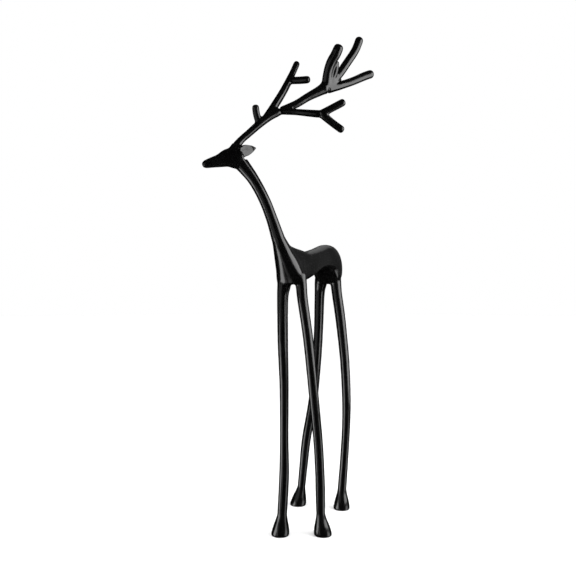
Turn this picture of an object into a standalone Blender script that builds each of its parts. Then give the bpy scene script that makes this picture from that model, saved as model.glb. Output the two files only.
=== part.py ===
"""Tall cast iron stag: one casting that stands on four flared hooves and looks to its right.

Metres, +Z up. The stag faces -X and its left side is towards -Y. The origin is on the ground
under the middle of its outline.

The pose is that of a free figure, so places are shares of its height: back, left and up, each
in thousandths of HEIGHT. The thickness of each limb is a real size.
"""

import math

import bmesh
import bpy
from mathutils import Matrix, Vector

HEIGHT = 0.600

# Thicknesses
LEG_DIAMETER = 0.0112
NECK_DIAMETER = 0.0134
SNOUT_DIAMETER = 0.0074
SKULL_DEPTH = 0.0225
SKULL_WIDTH = 0.0165
ANTLER_DIAMETER = 0.0086
HOOF_DIAMETER = 0.0216
HOOF_HEIGHT = 0.0255

# The ears are leaves with a shallow cup carved into the face, whose middle lies at CUP_PLACE of
# the way to the tip.
EAR_LENGTH = 0.0230
EAR_WIDTH = 0.0139
EAR_THICKNESS = 0.0046
CUP_DEPTH = 0.0010
CUP_RIM = 0.0012
CUP_PLACE = 0.46

# An ear's outline is a sine wave from EAR_START of the way along it. EAR_FORWARD under 1 puts
# its broadest place nearer to the root, and EAR_FULLNESS under 1 makes it blunter. The tip
# keeps these shares of the width and the thickness. Its face is all but flat and its back round:
# the face rises by EAR_FACE_RISE of the half thickness.
EAR_START = 0.16
EAR_FORWARD = 0.8
EAR_FULLNESS = 0.66
EAR_TIP_WIDTH = 0.16
EAR_TIP_THICKNESS = 0.3
EAR_FACE_RISE = 0.3
EAR_SQUARENESS = (3.2, 2.0)

# Under 1, a hoof widens sooner below the ankle.
HOOF_FLARE = 0.85

# The crotches are rounded by letting the whole surface run like wax.
MELT_CELL = 0.0011
MELT_FACTOR = 0.5
MELT_STEPS = 14

# It runs further round the withers, where the neck meets the torso: back, left, up, then reach
WITHERS = (-8, 16, 562)
WITHERS_REACH = 34
WITHERS_STEPS = 90

FACETS = 8950
SOLE_SPARE = 0.0006

# The end of a tine and of the snout is rounded over this share of its radius.
TIP_ROUNDING = 0.75

# Around a limb, along it, along a hoof, along an ear and round a tip
SIDES = 24
STEP = 0.0025
HOOF_RINGS = 10
EAR_RINGS = 12
TIP_RINGS = 4

IRON_COLOUR = (0.012, 0.012, 0.013, 1.0)
IRON_ROUGHNESS = 0.32
IRON_METALLIC = 0.0

# Each leg: back, left, up, then its thickness as a share of LEG_DIAMETER, from the top down.
# Then its ankle, without the up, which HOOF_HEIGHT gives, and last where its sole stands.
LEGS = {
    "front right": (
        [
            (-9, -2, 520, 1.6),
            (-10, -4.5, 497, 1.42),
            (-11, -7, 469, 1.16),
            (-9.5, -7, 380, 1.08),
            (-7, -5.5, 294, 0.94),
            (-5.5, -6, 190, 0.88),
            (-4.5, -6.5, 121, 1.03),
        ],
        (-5, -10.5, 1.02),
        (-6, -14.5),
    ),
    "front left": (
        [
            (-8, 29, 520, 1.35),
            (-9.5, 32.5, 497, 1.17),
            (-11, 36, 469, 1.08),
            (-2.5, 44.5, 390, 1.04),
            (6.5, 51.5, 291, 1.00),
            (16, 58, 191, 0.97),
            (20.5, 60, 130, 0.97),
            (23, 60.5, 90, 1.00),
        ],
        (24.5, 60.5, 0.92),
        (27.5, 64.5),
    ),
    "hind right": (
        [
            (206, -1, 530, 1.65),
            (207, -5.5, 503, 1.5),
            (208, -8.5, 478, 1.22),
            (202, -9, 396, 1.11),
            (196, -11, 327, 1.08),
            (188, -17.5, 235, 1.07),
            (177.5, -30, 145, 1.07),
            (172, -35.5, 77, 0.96),
        ],
        (168.5, -38, 0.92),
        (163.5, -45),
    ),
    "hind left": (
        [
            (205, 29, 535, 1.5),
            (205.5, 33, 495, 1.27),
            (205.5, 35, 478, 1.22),
            (205.5, 43.5, 420, 1.20),
            (203, 54, 329, 1.10),
            (199, 59.5, 239, 1.03),
            (195, 59.5, 172, 0.95),
            (188, 57.5, 106, 0.95),
        ],
        (182, 54.5, 1.02),
        (178.5, 54.5),
    ),
}

# Torso sections: back, left, up of the lower edge, up of the upper edge, width at the lower edge
# and the share of it that is lost at the upper one
TORSO = [
    (-32, 0, 535, 592, 14, 0.60),
    (-22, 6, 520, 582, 26, 0.52),
    (-13, 11, 509, 577, 38, 0.46),
    (0, 13.5, 502, 574, 40, 0.39),
    (28, 15, 508, 570, 48, 0.30),
    (56, 15, 516, 569, 54, 0.22),
    (110, 15, 531, 577.5, 52, 0.10),
    (145, 15, 532.5, 585, 54, 0.08),
    (170, 15, 528, 590, 61, 0.08),
    (190, 15, 507, 591, 67, 0.09),
    (204, 15, 502, 588.5, 67, 0.09),
    (217, 15, 509, 573, 59, 0.06),
    (225, 15, 517, 563, 46, 0.05),
    (230.5, 15, 527, 553, 28, 0.05),
]

# Over 2 is squarer: the back, then the belly.
TORSO_SQUARENESS = (2.2, 3.4)

# The chest runs like an A from both front legs up into the neck, and fades backwards into the
# flanks. Level sections: back, left, up, width, then how far they reach forwards and backwards
CHEST = [
    (-9, 12, 500, 60, 15, 15),
    (-9, 11.5, 509, 63, 18, 20),
    (-11.5, 7.7, 529, 54, 24, 42),
    (-17, 4.5, 549, 47, 26, 46),
    (-29.5, 0.8, 569, 35.5, 19, 28),
    (-37.5, -4, 590, 26, 14.5, 15),
    (-42, -7.5, 602, 21, 10.5, 10.5),
]

# Neck: back, left, up, thickness as a share of NECK_DIAMETER
NECK = [
    (-34, 0, 573, 1.15),
    (-38.5, -4, 588, 1.16),
    (-47, -13.5, 625, 0.98),
    (-56.5, -25.5, 663, 0.94),
    (-68, -43, 701, 0.98),
    (-82, -63, 732, 1.26),
]

# Head: back, left, up, then how far from the snout's thickness to the skull's, from 0 to 1
SKULL_MIDDLE = (-87, -67, 740)
HEAD = [
    (-127.5, -122, 724.5, 0.0),
    (-116.5, -107, 730.5, 0.27),
    (-108, -95.5, 734.5, 0.50),
    (-98, -81, 740.8, 0.93),
    (*SKULL_MIDDLE, 1.05),
    (-81, -60, 742, 0.8),
]

# Antlers: back, left, up, thickness as a share of ANTLER_DIAMETER
ANTLERS = {
    "stem": [
        (-94, -77.5, 750, 1.45),
        (-84, -64, 774, 0.92),
        (-73.5, -49.5, 791, 0.9),
        (-62.5, -34, 808.5, 0.98),
        (-51, -18.5, 824.5, 1.08),
        (-37.5, 0, 837.5, 1.05),
    ],
    "small tine": [
        (-62, -34, 810, 0.9),
        (-68, -37.5, 829, 0.88),
        (-72.5, -37.2, 844.5, 0.87),
    ],
    "inner branch": [
        (-55, -24, 819, 1.02),
        (-39.5, -11, 849, 1.03),
        (-22, -1.5, 878.5, 0.98),
        (-8, 6, 905.5, 0.92),
        (2, 10, 924, 0.80),
        (14.5, 14.5, 948, 0.80),
    ],
    "inner tine": [
        (-8.5, 5, 905, 0.92),
        (-6, 26, 903, 0.91),
        (-5, 49.3, 902, 0.94),
    ],
    "main branch": [
        (-37, 1, 838, 0.92),
        (-21.5, 26, 851.5, 0.97),
        (-7, 45.5, 867.5, 1.05),
        (7, 63, 880.5, 1.3),
        (17.5, 77, 891.5, 1.65),
    ],
    "near tine": [
        (16, 75, 891, 1.35),
        (8.5, 81.5, 915.5, 1.22),
        (3.5, 90, 932.5, 1.28),
        (1, 100, 945.5, 1.32),
        (-3, 110.3, 962, 1.27),
    ],
    "high tine": [
        (19, 78, 893, 1.25),
        (36, 95, 919, 1.14),
        (50.5, 109, 947, 1.12),
        (62.5, 121.3, 973, 1.1),
        (69.5, 129.3, 999.8, 1.1),
    ],
    "fork web": [
        (20, 82, 900, 0.9),
        (19, 92, 918, 0.8),
        (14, 98, 938, 0.7),
    ],
    "long tine": [
        (20, 77, 887.5, 1.25),
        (41.5, 97.5, 898.7, 1.1),
        (60.5, 117, 910.3, 1.06),
        (79.5, 136.5, 924, 1.12),
        (91.5, 150.5, 931.5, 1.12),
    ],
    "far tine": [
        (26, 80, 893, 1.1),
        (70, 84, 922, 1.0),
    ],
    "outer branch": [
        (-37, 1, 836.5, 0.8),
        (-31, 30, 833.3, 0.74),
        (-27.5, 53.5, 829.5, 0.84),
        (-23, 78, 826, 0.95),
    ],
    "outer upper tine": [
        (-23, 78, 826, 0.95),
        (-17, 98.5, 836.5, 0.92),
        (-9, 122.5, 849.3, 0.92),
    ],
    "outer lower tine": [
        (-22.5, 80, 825.5, 0.95),
        (-11.5, 97.5, 810, 0.92),
        (1.5, 116, 795.3, 0.92),
    ],
}

# Left ear: its root seen from the skull's middle, in shares of SKULL_DEPTH, then the way it
# points and the way its cup faces, all as back, left and up
EAR_ROOT = (-0.16, 0.16, 0.295)
EAR_POINTS = (0.79, 0.58, 0.33)
EAR_FACES = (-0.60, 0.79, -0.12)

# No limb runs along this direction, so it can tell the sides of a limb apart.
NO_LIMB = Vector((1, 0.35, 0.05))


def place(back, left, up):
    """The point in metres of a place given in thousandths of the height."""
    return Vector((back, -left, up)) * (HEIGHT / 1000)


def along(stations, step=STEP):
    """Stations of equal length lists, as a smooth curve through them with a point every step."""
    rows = [stations[0], *stations, stations[-1]]
    result = []
    for before, start, end, after in zip(rows, rows[1:], rows[2:], rows[3:]):
        gap = (place(*end[:3]) - place(*start[:3])).length
        count = max(1, round(gap / step))
        for i in range(count):
            t = i / count
            result.append(
                [
                    0.5 * (2 * b + t * (c - a) + t * t * (2 * a - 5 * b + 4 * c - d)
                           + t**3 * (3 * b - a - 3 * c + d))
                    for a, b, c, d in zip(before, start, end, after)
                ]
            )
    result.append(list(stations[-1]))
    return result


def ring(centre, side, tall, squareness=(2.0, 2.0), low=1.0, narrowing=0.0):
    """A closed loop around centre: an ellipse, or squarer as squareness goes over 2, above the
    middle and below it. It reaches low times as far below as above, and loses a share of its
    width, narrowing, from its lower edge to its upper one."""
    loop = []
    for i in range(SIDES):
        angle = 2 * math.pi * i / SIDES
        c, s = math.cos(angle), math.sin(angle)
        power = squareness[0] if s > 0 else squareness[1]
        reach = (abs(c) ** power + abs(s) ** power) ** (-1 / power)
        sideways = c * reach * (1 - narrowing * (1 + s * reach) / 2)
        upwards = s * reach * (1 if s > 0 else low)
        loop.append(centre + side * sideways + tall * upwards)
    return loop


def loft(mesh, loops):
    """Adds a closed skin over the loops to mesh."""
    rows = [[mesh.verts.new(point) for point in loop] for loop in loops]
    for row, following in zip(rows, rows[1:]):
        for i in range(SIDES):
            j = (i + 1) % SIDES
            mesh.faces.new((row[i], row[j], following[j], following[i]))
    mesh.faces.new(reversed(rows[0]))
    mesh.faces.new(rows[-1])


def thickened(radius):
    """The radius that melts down to the wanted one."""
    return math.sqrt(radius**2 + MELT_STEPS * MELT_FACTOR * MELT_CELL**2 / 2)


def crossways(centres, upright):
    """For each centre, two unit vectors square to the path, the second nearest to upright."""
    frames = []
    for i in range(len(centres)):
        onward = centres[min(i + 1, len(centres) - 1)] - centres[max(i - 1, 0)]
        side = onward.cross(upright).normalized()
        frames.append((side, side.cross(onward).normalized()))
    return frames


def rounded_end(loops, centres, radius):
    """The loops of a limb with its last edge rounded."""
    end = centres[-1]
    onward = (end - centres[-2]).normalized()
    fillet = TIP_ROUNDING * radius
    kept = [loop for loop, centre in zip(loops, centres) if (end - centre).length > fillet]
    for i in range(TIP_RINGS + 1):
        angle = math.pi / 2 * i / TIP_RINGS
        middle = end - onward * (fillet * (1 - math.sin(angle)))
        share = 1 - TIP_ROUNDING * (1 - math.cos(angle))
        kept.append([middle + (point - end) * share for point in loops[-1]])
    return kept


def limb_loops(stations, diameter, rounded=False):
    """The loops of a round limb, each of whose stations ends with its share of the diameter."""
    rows = along(stations)
    centres = [place(*row[:3]) for row in rows]
    loops = []
    for centre, row, (side, tall) in zip(centres, rows, crossways(centres, NO_LIMB)):
        radius = thickened(diameter * row[3] / 2)
        loops.append(ring(centre, side * radius, tall * radius))
    return rounded_end(loops, centres, radius) if rounded else loops


def hoof_loops(ankle, sole):
    """The loops of a hoof like a trumpet's bell, from the ankle to just under the ground."""
    top = place(*ankle[:3])
    foot = place(*sole, 0)
    ankle_radius = LEG_DIAMETER * ankle[3] / 2
    loops = []
    for i in range(HOOF_RINGS + 1):
        share = i / HOOF_RINGS
        flare = share**HOOF_FLARE
        flare = flare * flare * (3 - 2 * flare)
        radius = thickened(ankle_radius + (HOOF_DIAMETER / 2 - ankle_radius) * flare)
        centre = top.lerp(foot, share)
        loops.append(ring(centre, Vector((radius, 0, 0)), Vector((0, -radius, 0))))
    spare = Vector((0, 0, SOLE_SPARE))
    loops.append([point - spare for point in loops[-1]])
    return loops


def torso(mesh):
    loops = []
    for back, left, low, high, width, narrowing in along(TORSO):
        centre = place(back, left, (low + high) / 2)
        side = Vector((0, thickened(place(0, width, 0).length / 2), 0))
        tall = Vector((0, 0, thickened(place(0, 0, high - low).length / 2)))
        loops.append(ring(centre, side, tall, TORSO_SQUARENESS, narrowing=narrowing))
    loft(mesh, loops)


def chest(mesh):
    loops = []
    for back, left, up, width, forwards, backwards in along(CHEST):
        side = Vector((0, thickened(place(0, width, 0).length / 2), 0))
        ahead = Vector((-thickened(place(forwards, 0, 0).length), 0, 0))
        loops.append(ring(place(back, left, up), side, ahead, low=backwards / forwards))
    loft(mesh, loops)


def head(mesh):
    rows = along(HEAD)
    centres = [place(*row[:3]) for row in rows]
    loops = []
    for centre, row, (side, tall) in zip(centres, rows, crossways(centres, Vector((0, 0, 1)))):
        width = SNOUT_DIAMETER + (SKULL_WIDTH - SNOUT_DIAMETER) * row[3]
        depth = SNOUT_DIAMETER + (SKULL_DEPTH - SNOUT_DIAMETER) * row[3]
        loops.append(ring(centre, side * thickened(width / 2), tall * thickened(depth / 2)))
    nose_last = rounded_end(loops[::-1], centres[::-1], thickened(SNOUT_DIAMETER / 2))
    loft(mesh, nose_last[::-1])


def ear_frame(mirrored):
    """Root, pointing and facing directions of an ear, and the direction across it."""
    skull = place(*SKULL_MIDDLE)
    root = skull + place(*EAR_ROOT) / HEIGHT * 1000 * SKULL_DEPTH
    points = place(*EAR_POINTS).normalized()
    faces = place(*EAR_FACES)
    faces = (faces - points * faces.dot(points)).normalized()
    if mirrored:
        # Both ears point the same way, and the right one mirrors the left one in the upright
        # plane that runs that way through the skull's middle.
        sideways = points.cross(Vector((0, 0, 1))).normalized()
        root = root - sideways * (2 * (root - skull).dot(sideways))
        faces = faces - sideways * (2 * faces.dot(sideways))
    return root, points, faces, points.cross(faces)


def ear(mesh, mirrored):
    """A leaf that is broad near its root and narrows to its tip."""
    root, points, faces, across = ear_frame(mirrored)
    loops = []
    for i in range(EAR_RINGS + 1):
        share = i / EAR_RINGS
        centre = root + points * (EAR_LENGTH * share)
        wave = math.sin(math.pi * (EAR_START + (1 - EAR_START) * share) ** EAR_FORWARD)
        leaf = max(wave, 0) ** EAR_FULLNESS
        side = across * (thickened(EAR_WIDTH / 2) * max(leaf, EAR_TIP_WIDTH))
        face = faces * (thickened(EAR_THICKNESS / 2) * EAR_FACE_RISE)
        back_depth = max(leaf, EAR_TIP_THICKNESS) / EAR_FACE_RISE
        loops.append(ring(centre, side, face, EAR_SQUARENESS, low=back_depth))
    if mirrored:
        loops = [loop[::-1] for loop in loops]
    loft(mesh, loops)


def raw_form():
    """All limbs as overlapping closed skins in one mesh."""
    mesh = bmesh.new()
    torso(mesh)
    chest(mesh)
    loft(mesh, limb_loops(NECK, NECK_DIAMETER))
    head(mesh)
    hoof_top = HOOF_HEIGHT / HEIGHT * 1000
    for stations, (back, left, share), sole in LEGS.values():
        ankle = (back, left, hoof_top, share)
        above = [station for station in stations if station[2] > hoof_top]
        loft(mesh, limb_loops([*above, ankle], LEG_DIAMETER))
        loft(mesh, hoof_loops(ankle, sole))
    for stations in ANTLERS.values():
        loft(mesh, limb_loops(stations, ANTLER_DIAMETER, rounded=True))
    for mirrored in (False, True):
        ear(mesh, mirrored)
    return mesh


def evaluated_mesh(obj):
    """A mesh with the object's modifiers applied."""
    graph = bpy.context.evaluated_depsgraph_get()
    graph.update()
    return bpy.data.meshes.new_from_object(obj.evaluated_get(graph))


def run_like_wax(obj, cell):
    """Joins the object's overlapping skins into one of that cell size and rounds every crotch,
    the withers most."""
    remesh = obj.modifiers.new("one skin", "REMESH")
    remesh.mode = "VOXEL"
    remesh.voxel_size = cell
    obj.data = evaluated_mesh(obj)
    obj.modifiers.clear()
    withers = obj.vertex_groups.new(name="withers")
    for vert in obj.data.vertices:
        nearness = 1 - (vert.co - place(*WITHERS)).length / place(0, 0, WITHERS_REACH).length
        if nearness > 0:
            withers.add([vert.index], nearness * nearness * (3 - 2 * nearness), "REPLACE")
    for steps, group in ((MELT_STEPS, ""), (WITHERS_STEPS, "withers")):
        smooth = obj.modifiers.new("rounded crotches", "SMOOTH")
        smooth.factor = MELT_FACTOR
        smooth.iterations = round(steps * (MELT_CELL / cell) ** 2)
        smooth.vertex_group = group
    obj.data = evaluated_mesh(obj)
    obj.modifiers.clear()
    obj.vertex_groups.clear()


def cast_iron():
    material = bpy.data.materials.new("black_cast_iron")
    material.use_nodes = True
    shader = material.node_tree.nodes["Principled BSDF"]
    shader.inputs["Base Color"].default_value = IRON_COLOUR
    shader.inputs["Roughness"].default_value = IRON_ROUGHNESS
    shader.inputs["Metallic"].default_value = IRON_METALLIC
    material.diffuse_color = IRON_COLOUR
    return material


def cup_cutter(mirrored):
    """The lens that is carved out of an ear's face."""
    root, points, faces, across = ear_frame(mirrored)
    face = faces * (EAR_THICKNESS / 2 * EAR_FACE_RISE)
    centre = root + points * (EAR_LENGTH * CUP_PLACE) + face
    reach = (EAR_LENGTH / 2 - CUP_RIM, EAR_WIDTH / 2 - CUP_RIM, CUP_DEPTH)
    turned = Matrix((points, across, faces)).transposed()
    lens = bmesh.new()
    bmesh.ops.create_icosphere(lens, subdivisions=3, radius=1)
    for vert in lens.verts:
        vert.co = centre + turned @ Vector(a * b for a, b in zip(vert.co, reach))
    bmesh.ops.recalc_face_normals(lens, faces=lens.faces)
    data = bpy.data.meshes.new("ear cup")
    lens.to_mesh(data)
    lens.free()
    cutter = bpy.data.objects.new("ear cup", data)
    bpy.context.scene.collection.objects.link(cutter)
    return cutter


def carve_cups(obj):
    """The object's mesh with a shallow cup cut into each ear."""
    cutters = [cup_cutter(mirrored) for mirrored in (False, True)]
    for cutter in cutters:
        cup = obj.modifiers.new("ear cup", "BOOLEAN")
        cup.operation = "DIFFERENCE"
        cup.object = cutter
    carved = evaluated_mesh(obj)
    for cutter in cutters:
        bpy.data.objects.remove(cutter)
    return carved


def one_body(mesh):
    """Clears the specks that the remesh can leave where two skins all but touch."""
    left = set(mesh.verts)
    bodies = []
    while left:
        body = {left.pop()}
        edge = set(body)
        while edge:
            edge = {link.other_vert(vert) for vert in edge for link in vert.link_edges} - body
            body |= edge
        left -= body
        bodies.append(body)
    largest = max(bodies, key=len)
    specks = [vert for vert in mesh.verts if vert not in largest]
    bmesh.ops.delete(mesh, geom=specks, context="VERTS")


def flat_soles(mesh):
    """Cuts the hooves level with the ground and closes them."""
    whole = mesh.verts[:] + mesh.edges[:] + mesh.faces[:]
    cut = bmesh.ops.bisect_plane(
        mesh, geom=whole, plane_co=(0, 0, 0), plane_no=(0, 0, -1), clear_outer=True
    )
    rims = [edge for edge in cut["geom_cut"] if isinstance(edge, bmesh.types.BMEdge)]
    bmesh.ops.holes_fill(mesh, edges=rims, sides=0)


def centred(mesh):
    """Moves the stag so that the origin is under the middle of its outline."""
    for axis in (0, 1):
        places = [vert.co[axis] for vert in mesh.verts]
        middle = (min(places) + max(places)) / 2
        for vert in mesh.verts:
            vert.co[axis] -= middle


def stag():
    raw = raw_form()
    data = bpy.data.meshes.new("stag")
    raw.to_mesh(data)
    raw.free()
    obj = bpy.data.objects.new("stag", data)
    bpy.context.scene.collection.objects.link(obj)
    run_like_wax(obj, MELT_CELL)
    obj.data.calc_loop_triangles()
    decimate = obj.modifiers.new("fewer facets", "DECIMATE")
    decimate.ratio = FACETS / len(obj.data.loop_triangles)
    form = bmesh.new()
    form.from_mesh(carve_cups(obj))
    obj.modifiers.clear()
    one_body(form)
    flat_soles(form)
    centred(form)
    form.to_mesh(obj.data)
    form.free()
    obj.data.shade_smooth()
    obj.data.materials.append(cast_iron())
    return obj


for old in list(bpy.data.objects):
    bpy.data.objects.remove(old)
stag()
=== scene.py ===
"""Looks of the tall cast iron stag: its fine skin in black satin enamel, a plain pale floor and a
soft studio light. Metres, +Z up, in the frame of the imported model.

The skin is made the way the solid is, from the same stations and thicknesses, but finer. Places
are back, left and up in thousandths of HEIGHT, as a free figure's proportions; the stag faces -X
and its left side is towards -Y.
"""

import math

import bmesh
import bpy
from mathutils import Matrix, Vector, noise


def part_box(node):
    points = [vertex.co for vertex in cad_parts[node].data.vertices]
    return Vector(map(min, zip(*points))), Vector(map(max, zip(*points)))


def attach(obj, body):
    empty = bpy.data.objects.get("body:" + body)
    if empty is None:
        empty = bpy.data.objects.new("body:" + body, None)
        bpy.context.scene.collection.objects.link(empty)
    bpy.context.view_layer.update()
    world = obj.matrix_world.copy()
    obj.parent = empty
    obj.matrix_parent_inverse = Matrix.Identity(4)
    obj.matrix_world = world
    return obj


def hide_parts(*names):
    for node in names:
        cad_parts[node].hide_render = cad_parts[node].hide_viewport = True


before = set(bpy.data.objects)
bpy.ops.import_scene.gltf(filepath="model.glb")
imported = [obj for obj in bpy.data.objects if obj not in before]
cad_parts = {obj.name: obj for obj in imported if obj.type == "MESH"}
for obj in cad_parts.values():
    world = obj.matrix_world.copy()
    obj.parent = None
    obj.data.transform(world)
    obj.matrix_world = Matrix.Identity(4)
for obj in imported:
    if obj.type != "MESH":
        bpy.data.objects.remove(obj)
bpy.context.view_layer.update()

HEIGHT = 0.600

# Thicknesses
LEG_DIAMETER = 0.0112
NECK_DIAMETER = 0.0134
SNOUT_DIAMETER = 0.0074
SKULL_DEPTH = 0.0225
SKULL_WIDTH = 0.0165
ANTLER_DIAMETER = 0.0086
HOOF_DIAMETER = 0.0216
HOOF_HEIGHT = 0.0255

# The ears are leaves with a shallow cup pressed into the face, whose middle lies at CUP_PLACE of
# the way to the tip.
EAR_LENGTH = 0.0230
EAR_WIDTH = 0.0139
EAR_THICKNESS = 0.0046
CUP_RIM = 0.0012
CUP_PLACE = 0.46

# An ear's outline is a sine wave from EAR_START of the way along it. EAR_FORWARD under 1 puts
# its broadest place nearer to the root, and EAR_FULLNESS under 1 makes it blunter. The tip
# keeps these shares of the width and the thickness. Its face is all but flat and its back round:
# the face rises by EAR_FACE_RISE of the half thickness.
EAR_START = 0.16
EAR_FORWARD = 0.8
EAR_FULLNESS = 0.66
EAR_TIP_WIDTH = 0.16
EAR_TIP_THICKNESS = 0.3
EAR_FACE_RISE = 0.3
EAR_SQUARENESS = (3.2, 2.0)

# Under 1, a hoof widens sooner below the ankle.
HOOF_FLARE = 0.85

# The crotches are rounded by letting the whole surface run like wax.
MELT_CELL = 0.0011
MELT_FACTOR = 0.5
MELT_STEPS = 14

# It runs further round the withers, where the neck meets the torso: back, left, up, then reach
WITHERS = (-8, 16, 562)
WITHERS_REACH = 34
WITHERS_STEPS = 90

# How far a hoof runs on below the ground before it is cut level
SOLE_SPARE = 0.0006

# The end of a tine and of the snout is rounded over this share of its radius.
TIP_ROUNDING = 0.75

# Around a limb, along it, along a hoof, along an ear and round a tip
SIDES = 24
STEP = 0.0025
HOOF_RINGS = 10
EAR_RINGS = 12
TIP_RINGS = 4

# Each leg: back, left, up, then its thickness as a share of LEG_DIAMETER, from the top down.
# Then its ankle, without the up, which HOOF_HEIGHT gives, and last where its sole stands.
LEGS = {
    "front right": (
        [
            (-9, -2, 520, 1.6),
            (-10, -4.5, 497, 1.42),
            (-11, -7, 469, 1.16),
            (-9.5, -7, 380, 1.08),
            (-7, -5.5, 294, 0.94),
            (-5.5, -6, 190, 0.88),
            (-4.5, -6.5, 121, 1.03),
        ],
        (-5, -10.5, 1.02),
        (-6, -14.5),
    ),
    "front left": (
        [
            (-8, 29, 520, 1.35),
            (-9.5, 32.5, 497, 1.17),
            (-11, 36, 469, 1.08),
            (-2.5, 44.5, 390, 1.04),
            (6.5, 51.5, 291, 1.00),
            (16, 58, 191, 0.97),
            (20.5, 60, 130, 0.97),
            (23, 60.5, 90, 1.00),
        ],
        (24.5, 60.5, 0.92),
        (27.5, 64.5),
    ),
    "hind right": (
        [
            (206, -1, 530, 1.65),
            (207, -5.5, 503, 1.5),
            (208, -8.5, 478, 1.22),
            (202, -9, 396, 1.11),
            (196, -11, 327, 1.08),
            (188, -17.5, 235, 1.07),
            (177.5, -30, 145, 1.07),
            (172, -35.5, 77, 0.96),
        ],
        (168.5, -38, 0.92),
        (163.5, -45),
    ),
    "hind left": (
        [
            (205, 29, 535, 1.5),
            (205.5, 33, 495, 1.27),
            (205.5, 35, 478, 1.22),
            (205.5, 43.5, 420, 1.20),
            (203, 54, 329, 1.10),
            (199, 59.5, 239, 1.03),
            (195, 59.5, 172, 0.95),
            (188, 57.5, 106, 0.95),
        ],
        (182, 54.5, 1.02),
        (178.5, 54.5),
    ),
}

# Torso sections: back, left, up of the lower edge, up of the upper edge, width at the lower edge
# and the share of it that is lost at the upper one
TORSO = [
    (-32, 0, 535, 592, 14, 0.60),
    (-22, 6, 520, 582, 26, 0.52),
    (-13, 11, 509, 577, 38, 0.46),
    (0, 13.5, 502, 574, 40, 0.39),
    (28, 15, 508, 570, 48, 0.30),
    (56, 15, 516, 569, 54, 0.22),
    (110, 15, 531, 577.5, 52, 0.10),
    (145, 15, 532.5, 585, 54, 0.08),
    (170, 15, 528, 590, 61, 0.08),
    (190, 15, 507, 591, 67, 0.09),
    (204, 15, 502, 588.5, 67, 0.09),
    (217, 15, 509, 573, 59, 0.06),
    (225, 15, 517, 563, 46, 0.05),
    (230.5, 15, 527, 553, 28, 0.05),
]

# Over 2 is squarer: the back, then the belly.
TORSO_SQUARENESS = (2.2, 3.4)

# The chest runs like an A from both front legs up into the neck, and fades backwards into the
# flanks. Level sections: back, left, up, width, then how far they reach forwards and backwards
CHEST = [
    (-9, 12, 500, 60, 15, 15),
    (-9, 11.5, 509, 63, 18, 20),
    (-11.5, 7.7, 529, 54, 24, 42),
    (-17, 4.5, 549, 47, 26, 46),
    (-29.5, 0.8, 569, 35.5, 19, 28),
    (-37.5, -4, 590, 26, 14.5, 15),
    (-42, -7.5, 602, 21, 10.5, 10.5),
]

# Neck: back, left, up, thickness as a share of NECK_DIAMETER
NECK = [
    (-34, 0, 573, 1.15),
    (-38.5, -4, 588, 1.16),
    (-47, -13.5, 625, 0.98),
    (-56.5, -25.5, 663, 0.94),
    (-68, -43, 701, 0.98),
    (-82, -63, 732, 1.26),
]

# Head: back, left, up, then how far from the snout's thickness to the skull's, from 0 to 1
SKULL_MIDDLE = (-87, -67, 740)
HEAD = [
    (-127.5, -122, 724.5, 0.0),
    (-116.5, -107, 730.5, 0.27),
    (-108, -95.5, 734.5, 0.50),
    (-98, -81, 740.8, 0.93),
    (*SKULL_MIDDLE, 1.05),
    (-81, -60, 742, 0.8),
]

# Antlers: back, left, up, thickness as a share of ANTLER_DIAMETER
ANTLERS = {
    "stem": [
        (-94, -77.5, 750, 1.45),
        (-84, -64, 774, 0.92),
        (-73.5, -49.5, 791, 0.9),
        (-62.5, -34, 808.5, 0.98),
        (-51, -18.5, 824.5, 1.08),
        (-37.5, 0, 837.5, 1.05),
    ],
    "small tine": [
        (-62, -34, 810, 0.9),
        (-68, -37.5, 829, 0.88),
        (-72.5, -37.2, 844.5, 0.87),
    ],
    "inner branch": [
        (-55, -24, 819, 1.02),
        (-39.5, -11, 849, 1.03),
        (-22, -1.5, 878.5, 0.98),
        (-8, 6, 905.5, 0.92),
        (2, 10, 924, 0.80),
        (14.5, 14.5, 948, 0.80),
    ],
    "inner tine": [
        (-8.5, 5, 905, 0.92),
        (-6, 26, 903, 0.91),
        (-5, 49.3, 902, 0.94),
    ],
    "main branch": [
        (-37, 1, 838, 0.92),
        (-21.5, 26, 851.5, 0.97),
        (-7, 45.5, 867.5, 1.05),
        (7, 63, 880.5, 1.3),
        (17.5, 77, 891.5, 1.65),
    ],
    "near tine": [
        (16, 75, 891, 1.35),
        (8.5, 81.5, 915.5, 1.22),
        (3.5, 90, 932.5, 1.28),
        (1, 100, 945.5, 1.32),
        (-3, 110.3, 962, 1.27),
    ],
    "high tine": [
        (19, 78, 893, 1.25),
        (36, 95, 919, 1.14),
        (50.5, 109, 947, 1.12),
        (62.5, 121.3, 973, 1.1),
        (69.5, 129.3, 999.8, 1.1),
    ],
    "fork web": [
        (20, 82, 900, 0.9),
        (19, 92, 918, 0.8),
        (14, 98, 938, 0.7),
    ],
    "long tine": [
        (20, 77, 887.5, 1.25),
        (41.5, 97.5, 898.7, 1.1),
        (60.5, 117, 910.3, 1.06),
        (79.5, 136.5, 924, 1.12),
        (91.5, 150.5, 931.5, 1.12),
    ],
    "far tine": [
        (26, 80, 893, 1.1),
        (70, 84, 922, 1.0),
    ],
    "outer branch": [
        (-37, 1, 836.5, 0.8),
        (-31, 30, 833.3, 0.74),
        (-27.5, 53.5, 829.5, 0.84),
        (-23, 78, 826, 0.95),
    ],
    "outer upper tine": [
        (-23, 78, 826, 0.95),
        (-17, 98.5, 836.5, 0.92),
        (-9, 122.5, 849.3, 0.92),
    ],
    "outer lower tine": [
        (-22.5, 80, 825.5, 0.95),
        (-11.5, 97.5, 810, 0.92),
        (1.5, 116, 795.3, 0.92),
    ],
}

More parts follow.
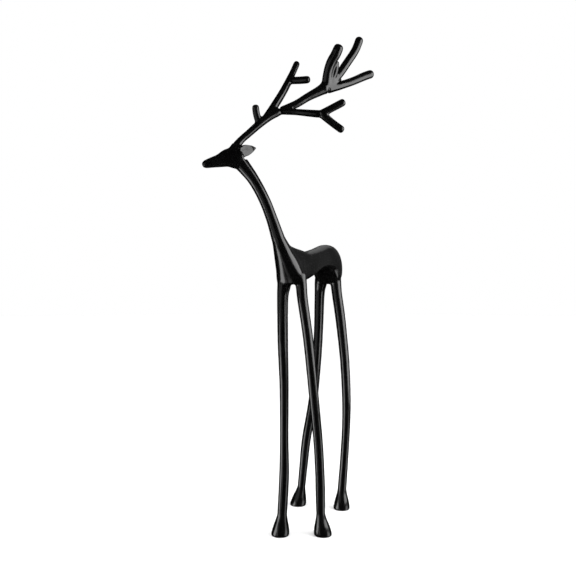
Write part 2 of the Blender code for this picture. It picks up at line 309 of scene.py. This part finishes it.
# Left ear: its root seen from the skull's middle, in shares of SKULL_DEPTH, then the way it
# points and the way its cup faces, all as back, left and up
EAR_ROOT = (-0.16, 0.16, 0.295)
EAR_POINTS = (0.79, 0.58, 0.33)
EAR_FACES = (-0.60, 0.79, -0.12)

# No limb runs along this direction, so it can tell the sides of a limb apart.
NO_LIMB = Vector((1, 0.35, 0.05))

# Fine skin: its cells, and the most triangles that it keeps
SKIN_CELL = 0.0006
SKIN_FACES = 190000

# Relief: soft waver of the hand-made pattern, ripple under the paint, the ears' cups, the collar
# where the antler stem leaves the head, and the slight waist above each hoof. A cup reaches
# CUP_REACH ear lengths either way from its middle. Counted as 0 at the middle and 1 at the rim,
# it has its full depth, CUP_FLOOR, up to the square root of 1 - CUP_WALL.
WAVER = 0.00008
WAVER_LENGTH = 0.012
RIPPLE = 0.00003
RIPPLE_LENGTH = 0.004
CUP_REACH = 0.42
CUP_WALL = 0.35
CUP_FLOOR = 0.0005
COLLAR = 0.0004
COLLAR_PLACE = 0.009
COLLAR_WIDTH = 0.0010
ANKLE_GROOVE = 0.00015
ANKLE_WIDTH = 0.002

# An ear's cup is looked for within this many ear lengths of its root, and the collar within this
# many antler diameters of the stem's foot.
CUP_SEARCH = 1.3
COLLAR_SEARCH = 2

# Enamel
ENAMEL_DEEP = "#040404"
ENAMEL_PALE = "#080808"
ENAMEL_IOR = 1.5
SMOOTHEST = 0.15
ROUGHEST = 0.21
CLOUD_SIZE = 0.018
CLOUD_DETAIL = 3.0
PEEL_SIZE = 0.0022
PEEL_DETAIL = 1.0
PEEL_DEPTH = 0.00001
GRAIN_SIZE = 0.0007
GRAIN_DETAIL = 2.0
GRAIN_DEPTH = 0.000003

# The cloud's values between which colour and gloss go from one end to the other
CLOUD_LOW = 0.3
CLOUD_HIGH = 0.7

# Studio
STUDIO_RADIUS = 6.0
BACKDROP_SEGMENTS = 48
FLOOR_COLOUR = "#fafafa"
BACKDROP_COLOUR = "#ffffff"
UNLIT = "#000000"
CEILING = 3.6
CEILING_SPREAD = 120
AIR = 0.003

# Softboxes and cards, PANEL_DISTANCE from the stag's axis: degrees round it to the right of the
# camera, width, heights of the lower and the upper edge, and the glow of each point of the face
PANEL_DISTANCE = 0.70
PANELS = {
    "right_softbox": (75.5, 0.66, 0.08, 0.88, 4.6),
    "right_low_card": (77, 0.45, -0.40, -0.02, 2.2),
    "left_softbox": (-74, 0.30, -0.28, 0.18, 4.6),
    "left_low_card": (-45, 0.35, -0.15, 0.02, 0.9),
    "left_front_card": (-44, 0.35, 0.10, 0.6, 0.45),
    "left_upper_card": (-72, 0.25, 0.20, 0.8, 0.7),
    "back_right_card": (138, 0.6, -0.3, 1.3, 0.085),
}

# One more card hangs behind and above the stag and leans down to it.
BACK_TOP_CARD = (180, 1.2, 0.9, 1.7, 0.3)
BACK_TOP_DISTANCE = 0.9
BACK_TOP_TILT = 35

# Camera: place in the stag's own axes, the way it looks, its film width and lens in mm, and how
# far it sees in metres
EYE = (-1104.7, 468.9, 493.0)
LOOKS = math.radians(23.0)
SENSOR = 36.0
LENS = 37.5
VIEW_DEPTH = 4 * STUDIO_RADIUS


def place(back, left, up):
    """The point in metres of a place given in thousandths of the height."""
    return Vector((back, -left, up)) * (HEIGHT / 1000)


def along(stations, step=STEP):
    """Stations of equal length lists, as a smooth curve through them with a point every step."""
    rows = [stations[0], *stations, stations[-1]]
    result = []
    for before, start, end, after in zip(rows, rows[1:], rows[2:], rows[3:]):
        gap = (place(*end[:3]) - place(*start[:3])).length
        count = max(1, round(gap / step))
        for i in range(count):
            t = i / count
            result.append(
                [
                    0.5 * (2 * b + t * (c - a) + t * t * (2 * a - 5 * b + 4 * c - d)
                           + t**3 * (3 * b - a - 3 * c + d))
                    for a, b, c, d in zip(before, start, end, after)
                ]
            )
    result.append(list(stations[-1]))
    return result


def ring(centre, side, tall, squareness=(2.0, 2.0), low=1.0, narrowing=0.0):
    """A closed loop around centre: an ellipse, or squarer as squareness goes over 2, above the
    middle and below it. It reaches low times as far below as above, and loses a share of its
    width, narrowing, from its lower edge to its upper one."""
    loop = []
    for i in range(SIDES):
        angle = 2 * math.pi * i / SIDES
        c, s = math.cos(angle), math.sin(angle)
        power = squareness[0] if s > 0 else squareness[1]
        reach = (abs(c) ** power + abs(s) ** power) ** (-1 / power)
        sideways = c * reach * (1 - narrowing * (1 + s * reach) / 2)
        upwards = s * reach * (1 if s > 0 else low)
        loop.append(centre + side * sideways + tall * upwards)
    return loop


def loft(mesh, loops):
    """Adds a closed skin over the loops to mesh."""
    rows = [[mesh.verts.new(point) for point in loop] for loop in loops]
    for row, following in zip(rows, rows[1:]):
        for i in range(SIDES):
            j = (i + 1) % SIDES
            mesh.faces.new((row[i], row[j], following[j], following[i]))
    mesh.faces.new(reversed(rows[0]))
    mesh.faces.new(rows[-1])


def thickened(radius):
    """The radius that melts down to the wanted one."""
    return math.sqrt(radius**2 + MELT_STEPS * MELT_FACTOR * MELT_CELL**2 / 2)


def crossways(centres, upright):
    """For each centre, two unit vectors square to the path, the second nearest to upright."""
    frames = []
    for i in range(len(centres)):
        onward = centres[min(i + 1, len(centres) - 1)] - centres[max(i - 1, 0)]
        side = onward.cross(upright).normalized()
        frames.append((side, side.cross(onward).normalized()))
    return frames


def rounded_end(loops, centres, radius):
    """The loops of a limb with its last edge rounded."""
    end = centres[-1]
    onward = (end - centres[-2]).normalized()
    fillet = TIP_ROUNDING * radius
    kept = [loop for loop, centre in zip(loops, centres) if (end - centre).length > fillet]
    for i in range(TIP_RINGS + 1):
        angle = math.pi / 2 * i / TIP_RINGS
        middle = end - onward * (fillet * (1 - math.sin(angle)))
        share = 1 - TIP_ROUNDING * (1 - math.cos(angle))
        kept.append([middle + (point - end) * share for point in loops[-1]])
    return kept


def limb_loops(stations, diameter, rounded=False):
    """The loops of a round limb, each of whose stations ends with its share of the diameter."""
    rows = along(stations)
    centres = [place(*row[:3]) for row in rows]
    loops = []
    for centre, row, (side, tall) in zip(centres, rows, crossways(centres, NO_LIMB)):
        radius = thickened(diameter * row[3] / 2)
        loops.append(ring(centre, side * radius, tall * radius))
    return rounded_end(loops, centres, radius) if rounded else loops


def hoof_loops(ankle, sole):
    """The loops of a hoof like a trumpet's bell, from the ankle to just under the ground."""
    top = place(*ankle[:3])
    foot = place(*sole, 0)
    ankle_radius = LEG_DIAMETER * ankle[3] / 2
    loops = []
    for i in range(HOOF_RINGS + 1):
        share = i / HOOF_RINGS
        flare = share**HOOF_FLARE
        flare = flare * flare * (3 - 2 * flare)
        radius = thickened(ankle_radius + (HOOF_DIAMETER / 2 - ankle_radius) * flare)
        centre = top.lerp(foot, share)
        loops.append(ring(centre, Vector((radius, 0, 0)), Vector((0, -radius, 0))))
    spare = Vector((0, 0, SOLE_SPARE))
    loops.append([point - spare for point in loops[-1]])
    return loops


def torso(mesh):
    """The body of the stag, as upright sections from front to back."""
    loops = []
    for back, left, low, high, width, narrowing in along(TORSO):
        centre = place(back, left, (low + high) / 2)
        side = Vector((0, thickened(place(0, width, 0).length / 2), 0))
        tall = Vector((0, 0, thickened(place(0, 0, high - low).length / 2)))
        loops.append(ring(centre, side, tall, TORSO_SQUARENESS, narrowing=narrowing))
    loft(mesh, loops)


def chest(mesh):
    """The chest between the front legs and the neck, as level sections from below."""
    loops = []
    for back, left, up, width, forwards, backwards in along(CHEST):
        side = Vector((0, thickened(place(0, width, 0).length / 2), 0))
        ahead = Vector((-thickened(place(forwards, 0, 0).length), 0, 0))
        loops.append(ring(place(back, left, up), side, ahead, low=backwards / forwards))
    loft(mesh, loops)


def head(mesh):
    """Snout and skull in one, taller than wide at the skull and round at the nose."""
    rows = along(HEAD)
    centres = [place(*row[:3]) for row in rows]
    loops = []
    for centre, row, (side, tall) in zip(centres, rows, crossways(centres, Vector((0, 0, 1)))):
        width = SNOUT_DIAMETER + (SKULL_WIDTH - SNOUT_DIAMETER) * row[3]
        depth = SNOUT_DIAMETER + (SKULL_DEPTH - SNOUT_DIAMETER) * row[3]
        loops.append(ring(centre, side * thickened(width / 2), tall * thickened(depth / 2)))
    nose_last = rounded_end(loops[::-1], centres[::-1], thickened(SNOUT_DIAMETER / 2))
    loft(mesh, nose_last[::-1])


def ear_frame(mirrored):
    """Root, pointing and facing directions of an ear, and the direction across it."""
    skull = place(*SKULL_MIDDLE)
    # The root is in shares of SKULL_DEPTH, and not in thousandths of the height as places are.
    root = skull + place(*EAR_ROOT) / HEIGHT * 1000 * SKULL_DEPTH
    points = place(*EAR_POINTS).normalized()
    faces = place(*EAR_FACES)
    faces = (faces - points * faces.dot(points)).normalized()
    if mirrored:
        # Both ears point the same way, and the right one mirrors the left one in the upright
        # plane that runs that way through the skull's middle.
        sideways = points.cross(Vector((0, 0, 1))).normalized()
        root = root - sideways * (2 * (root - skull).dot(sideways))
        faces = faces - sideways * (2 * faces.dot(sideways))
    return root, points, faces, points.cross(faces)


def ear(mesh, mirrored):
    """A leaf that is broad near its root and narrows to its tip."""
    root, points, faces, across = ear_frame(mirrored)
    loops = []
    for i in range(EAR_RINGS + 1):
        share = i / EAR_RINGS
        centre = root + points * (EAR_LENGTH * share)
        wave = math.sin(math.pi * (EAR_START + (1 - EAR_START) * share) ** EAR_FORWARD)
        leaf = max(wave, 0) ** EAR_FULLNESS
        side = across * (thickened(EAR_WIDTH / 2) * max(leaf, EAR_TIP_WIDTH))
        face = faces * (thickened(EAR_THICKNESS / 2) * EAR_FACE_RISE)
        back_depth = max(leaf, EAR_TIP_THICKNESS) / EAR_FACE_RISE
        loops.append(ring(centre, side, face, EAR_SQUARENESS, low=back_depth))
    if mirrored:
        loops = [loop[::-1] for loop in loops]
    loft(mesh, loops)


def raw_form():
    """All limbs as overlapping closed skins in one mesh."""
    mesh = bmesh.new()
    torso(mesh)
    chest(mesh)
    loft(mesh, limb_loops(NECK, NECK_DIAMETER))
    head(mesh)
    hoof_top = HOOF_HEIGHT / HEIGHT * 1000
    for stations, (back, left, share), sole in LEGS.values():
        ankle = (back, left, hoof_top, share)
        above = [station for station in stations if station[2] > hoof_top]
        loft(mesh, limb_loops([*above, ankle], LEG_DIAMETER))
        loft(mesh, hoof_loops(ankle, sole))
    for stations in ANTLERS.values():
        loft(mesh, limb_loops(stations, ANTLER_DIAMETER, rounded=True))
    for mirrored in (False, True):
        ear(mesh, mirrored)
    return mesh


def one_body(mesh):
    """Clears the specks that the remesh can leave where two skins all but touch."""
    left = set(mesh.verts)
    bodies = []
    while left:
        body = {left.pop()}
        edge = set(body)
        while edge:
            edge = {link.other_vert(vert) for vert in edge for link in vert.link_edges} - body
            body |= edge
        left -= body
        bodies.append(body)
    largest = max(bodies, key=len)
    specks = [vert for vert in mesh.verts if vert not in largest]
    bmesh.ops.delete(mesh, geom=specks, context="VERTS")


def flat_soles(mesh):
    """Cuts the hooves level with the ground and closes them."""
    whole = mesh.verts[:] + mesh.edges[:] + mesh.faces[:]
    cut = bmesh.ops.bisect_plane(
        mesh, geom=whole, plane_co=(0, 0, 0), plane_no=(0, 0, -1), clear_outer=True
    )
    rims = [edge for edge in cut["geom_cut"] if isinstance(edge, bmesh.types.BMEdge)]
    bmesh.ops.holes_fill(mesh, edges=rims, sides=0)


def evaluated_mesh(obj):
    """A mesh with the object's modifiers applied."""
    graph = bpy.context.evaluated_depsgraph_get()
    graph.update()
    return bpy.data.meshes.new_from_object(obj.evaluated_get(graph))


def run_like_wax(obj, cell):
    """Joins the object's overlapping skins into one of that cell size and rounds every crotch,
    the withers most."""
    remesh = obj.modifiers.new("one skin", "REMESH")
    remesh.mode = "VOXEL"
    remesh.voxel_size = cell
    obj.data = evaluated_mesh(obj)
    obj.modifiers.clear()
    withers = obj.vertex_groups.new(name="withers")
    for vert in obj.data.vertices:
        nearness = 1 - (vert.co - place(*WITHERS)).length / place(0, 0, WITHERS_REACH).length
        if nearness > 0:
            withers.add([vert.index], nearness * nearness * (3 - 2 * nearness), "REPLACE")
    for steps, group in ((MELT_STEPS, ""), (WITHERS_STEPS, "withers")):
        smooth = obj.modifiers.new("rounded crotches", "SMOOTH")
        smooth.factor = MELT_FACTOR
        smooth.iterations = round(steps * (MELT_CELL / cell) ** 2)
        smooth.vertex_group = group
    obj.data = evaluated_mesh(obj)
    obj.modifiers.clear()
    obj.vertex_groups.clear()


def linked(name, data):
    """An object with that data, in the scene."""
    obj = bpy.data.objects.new(name, data)
    bpy.context.scene.collection.objects.link(obj)
    return obj


def bell(value, middle, width):
    """A smooth hump of height 1 round the middle."""
    return math.exp(-(((value - middle) / width) ** 2))


def cup_depth(point, face):
    """How far a point of an ear's face is pressed in."""
    root, points, faces, across = face
    seen = point - root
    if seen.dot(faces) < 0:
        return 0.0
    along_ear = (seen.dot(points) / EAR_LENGTH - CUP_PLACE) / CUP_REACH
    side = seen.dot(across) / (EAR_WIDTH / 2 - CUP_RIM)
    inside = min(1.0, max(0.0, (1 - along_ear**2 - side**2) / CUP_WALL))
    return CUP_FLOOR * inside * inside * (3 - 2 * inside)


def relief(point, normal, ears, stem):
    """How a point of the skin is moved by the marks that a caster's pattern and finish leave."""
    moved = normal * (
        WAVER * noise.noise(point / WAVER_LENGTH) + RIPPLE * noise.noise(point / RIPPLE_LENGTH)
    )
    for face in ears:
        if (point - face[0]).length < CUP_SEARCH * EAR_LENGTH:
            moved -= face[2] * cup_depth(point, face)
    foot, onward = stem
    seen = point - foot
    if seen.length < COLLAR_SEARCH * ANTLER_DIAMETER:
        height = seen.dot(onward)
        moved += normal * COLLAR * (
            bell(height, COLLAR_PLACE, COLLAR_WIDTH)
            - bell(height, COLLAR_PLACE + 2 * COLLAR_WIDTH, COLLAR_WIDTH)
        )
    moved -= normal * ANKLE_GROOVE * bell(point.z, HOOF_HEIGHT, ANKLE_WIDTH)
    return moved


def fit_to_solid(form):
    """Centres the skin on the solid and brings it inside the solid's box, which its finer grid
    oversteps by a fraction of a millimetre. It returns how far the skin was moved."""
    low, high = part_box("stag")
    shift = Vector((0, 0, 0))
    for axis in range(3):
        reach = [vert.co[axis] for vert in form.verts]
        middle = (min(reach) + max(reach)) / 2
        wanted = (low[axis] + high[axis]) / 2
        factor = min(1.0, (high[axis] - low[axis]) / (max(reach) - min(reach)))
        if axis == 2:
            # The soles stay on the ground.
            middle = wanted = 0.0
        shift[axis] = wanted - middle
        for vert in form.verts:
            vert.co[axis] = wanted + (vert.co[axis] - middle) * factor
    return shift


def fine_skin():
    """The whole stag as one closed skin, and how far it was moved to be centred."""
    raw = raw_form()
    data = bpy.data.meshes.new("stag skin")
    raw.to_mesh(data)
    raw.free()
    obj = linked("stag_skin", data)
    run_like_wax(obj, SKIN_CELL)
    obj.data.calc_loop_triangles()
    if len(obj.data.loop_triangles) > SKIN_FACES:
        decimate = obj.modifiers.new("fewer facets", "DECIMATE")
        decimate.ratio = SKIN_FACES / len(obj.data.loop_triangles)
        obj.data = evaluated_mesh(obj)
        obj.modifiers.clear()
    ears = [ear_frame(mirrored) for mirrored in (False, True)]
    foot = place(*ANTLERS["stem"][0][:3])
    onward = (place(*ANTLERS["stem"][1][:3]) - foot).normalized()
    places = [
        vert.co + relief(vert.co, vert.normal, ears, (foot, onward)) for vert in obj.data.vertices
    ]
    for vert, moved in zip(obj.data.vertices, places):
        vert.co = moved
    form = bmesh.new()
    form.from_mesh(obj.data)
    one_body(form)
    flat_soles(form)
    shift = fit_to_solid(form)
    form.to_mesh(obj.data)
    form.free()
    obj.data.shade_smooth()
    return obj, shift


def linear(colour):
    """A colour written as sRGB hex, as the linear values that a shader takes."""
    parts = [int(colour[i : i + 2], 16) / 255 for i in (1, 3, 5)]
    return (*(p / 12.92 if p <= 0.04045 else ((p + 0.055) / 1.055) ** 2.4 for p in parts), 1.0)


def add(tree, kind, **inputs):
    """A node with its inputs. Each is a value, or another node's output."""
    made = tree.nodes.new(kind)
    for name, value in inputs.items():
        socket = made.inputs[name.replace("_", " ")]
        if isinstance(value, bpy.types.NodeSocket):
            tree.links.new(value, socket)
        else:
            socket.default_value = value
    return made


def satin_black_enamel():
    """Black enamel on an iron casting: a deep, all but colourless black under an even satin
    gloss, with the faint orange peel of sprayed paint over iron's soft grain."""
    material = bpy.data.materials.new("satin_black_enamel_on_cast_iron")
    material.use_nodes = True
    tree = material.node_tree
    tree.nodes.clear()
    place_on = add(tree, "ShaderNodeTexCoord").outputs["Object"]
    cloud = add(
        tree,
        "ShaderNodeTexNoise",
        Vector=place_on,
        Scale=1 / CLOUD_SIZE,
        Detail=CLOUD_DETAIL,
    )
    colour = add(tree, "ShaderNodeValToRGB", Fac=cloud.outputs["Fac"])
    colour.color_ramp.elements[0].position = CLOUD_LOW
    colour.color_ramp.elements[0].color = linear(ENAMEL_DEEP)
    colour.color_ramp.elements[1].position = CLOUD_HIGH
    colour.color_ramp.elements[1].color = linear(ENAMEL_PALE)
    gloss = add(tree, "ShaderNodeMapRange", Value=cloud.outputs["Fac"])
    gloss.inputs["From Min"].default_value = CLOUD_LOW
    gloss.inputs["From Max"].default_value = CLOUD_HIGH
    gloss.inputs["To Min"].default_value = SMOOTHEST
    gloss.inputs["To Max"].default_value = ROUGHEST
    peel = add(
        tree, "ShaderNodeTexNoise", Vector=place_on, Scale=1 / PEEL_SIZE, Detail=PEEL_DETAIL
    )
    grain = add(
        tree, "ShaderNodeTexNoise", Vector=place_on, Scale=1 / GRAIN_SIZE, Detail=GRAIN_DETAIL
    )
    peel_bump = add(
        tree, "ShaderNodeBump", Height=peel.outputs["Fac"], Distance=PEEL_DEPTH, Strength=1.0
    )
    grain_bump = add(
        tree,
        "ShaderNodeBump",
        Height=grain.outputs["Fac"],
        Distance=GRAIN_DEPTH,
        Strength=1.0,
        Normal=peel_bump.outputs["Normal"],
    )
    shader = add(
        tree,
        "ShaderNodeBsdfPrincipled",
        Base_Color=colour.outputs["Color"],
        Roughness=gloss.outputs["Result"],
        Normal=grain_bump.outputs["Normal"],
        IOR=ENAMEL_IOR,
    )
    add(tree, "ShaderNodeOutputMaterial", Surface=shader.outputs["BSDF"])
    return material


def plain(name, colour, glow=UNLIT):
    """A plain matt surface for the studio, which glows by itself in the colour glow."""
    material = bpy.data.materials.new(name)
    material.use_nodes = True
    tree = material.node_tree
    tree.nodes.clear()
    shader = add(
        tree,
        "ShaderNodeBsdfPrincipled",
        Base_Color=linear(colour),
        Roughness=1.0,
        Emission_Color=linear(glow),
        Emission_Strength=1.0,
    )
    shader.inputs["Specular IOR Level"].default_value = 0.0
    add(tree, "ShaderNodeOutputMaterial", Surface=shader.outputs["BSDF"])
    return material


def only_seen(obj):
    """Leaves an object to the camera alone: it isn't mirrored and casts no light."""
    obj.visible_diffuse = False
    obj.visible_glossy = False
    obj.visible_transmission = False
    obj.visible_shadow = False


def floor_and_backdrop():
    """The pale floor and the white sphere round it."""
    mesh = bmesh.new()
    bmesh.ops.create_grid(mesh, x_segments=1, y_segments=1, size=STUDIO_RADIUS)
    data = bpy.data.meshes.new("floor")
    mesh.to_mesh(data)
    mesh.free()
    floor = linked("floor", data)
    data.materials.append(plain("pale_floor", FLOOR_COLOUR))
    # Some panels reach below the floor, so it neither blocks their light nor is mirrored.
    floor.visible_glossy = False
    floor.visible_shadow = False
    mesh = bmesh.new()
    bmesh.ops.create_uvsphere(
        mesh,
        u_segments=BACKDROP_SEGMENTS,
        v_segments=BACKDROP_SEGMENTS // 2,
        radius=STUDIO_RADIUS,
    )
    data = bpy.data.meshes.new("backdrop")
    mesh.to_mesh(data)
    mesh.free()
    backdrop = linked("backdrop", data)
    data.materials.append(plain("white_backdrop", UNLIT, BACKDROP_COLOUR))
    only_seen(backdrop)


def camera(shift):
    """The photograph's view: level, from the stag's left front."""
    eye = linked("camera", bpy.data.cameras.new("camera"))
    eye.data.sensor_width = SENSOR
    eye.data.lens = LENS
    eye.location = place(*EYE) + shift
    onward = Vector((math.cos(LOOKS), math.sin(LOOKS), 0))
    eye.rotation_euler = onward.to_track_quat("-Z", "Y").to_euler()
    eye.data.clip_end = VIEW_DEPTH
    bpy.context.scene.camera = eye


def panel(name, round_from_camera, width, low, high, glow, distance=PANEL_DISTANCE, tilt=0.0):
    """A softbox or card that faces the stag, and leans down to it by tilt degrees."""
    turn = math.radians(round_from_camera)
    towards_camera = Vector((-math.cos(LOOKS), -math.sin(LOOKS), 0))
    right = Vector((math.sin(LOOKS), -math.cos(LOOKS), 0))
    outward = towards_camera * math.cos(turn) + right * math.sin(turn)
    lamp = linked(name, bpy.data.lights.new(name, "AREA"))
    lamp.data.shape = "RECTANGLE"
    lamp.data.size = width
    lamp.data.size_y = high - low
    lamp.data.energy = glow * math.pi * width * (high - low)
    lamp.location = outward * distance + Vector((0, 0, (low + high) / 2))
    facing = -outward * math.cos(math.radians(tilt)) - Vector((0, 0, math.sin(math.radians(tilt))))
    lamp.rotation_euler = facing.to_track_quat("-Z", "Z").to_euler()
    lamp.visible_camera = False


def studio_light():
    """The panels, an even light from above that isn't mirrored, and a little air."""
    for name, values in PANELS.items():
        panel(name, *values)
    panel("back_top_card", *BACK_TOP_CARD, distance=BACK_TOP_DISTANCE, tilt=BACK_TOP_TILT)
    sky = linked("ceiling", bpy.data.lights.new("ceiling", "SUN"))
    sky.data.energy = CEILING
    sky.data.angle = math.radians(CEILING_SPREAD)
    sky.visible_glossy = False
    world = bpy.data.worlds.new("studio air")
    world.use_nodes = True
    world.node_tree.nodes["Background"].inputs["Color"].default_value = (*[AIR] * 3, 1)
    bpy.context.scene.world = world
    bpy.context.scene.view_settings.view_transform = "Standard"


stag, shift = fine_skin()
stag.data.materials.clear()
stag.data.materials.append(satin_black_enamel())
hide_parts("stag")
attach(stag, "root")
floor_and_backdrop()
camera(shift)
studio_light()
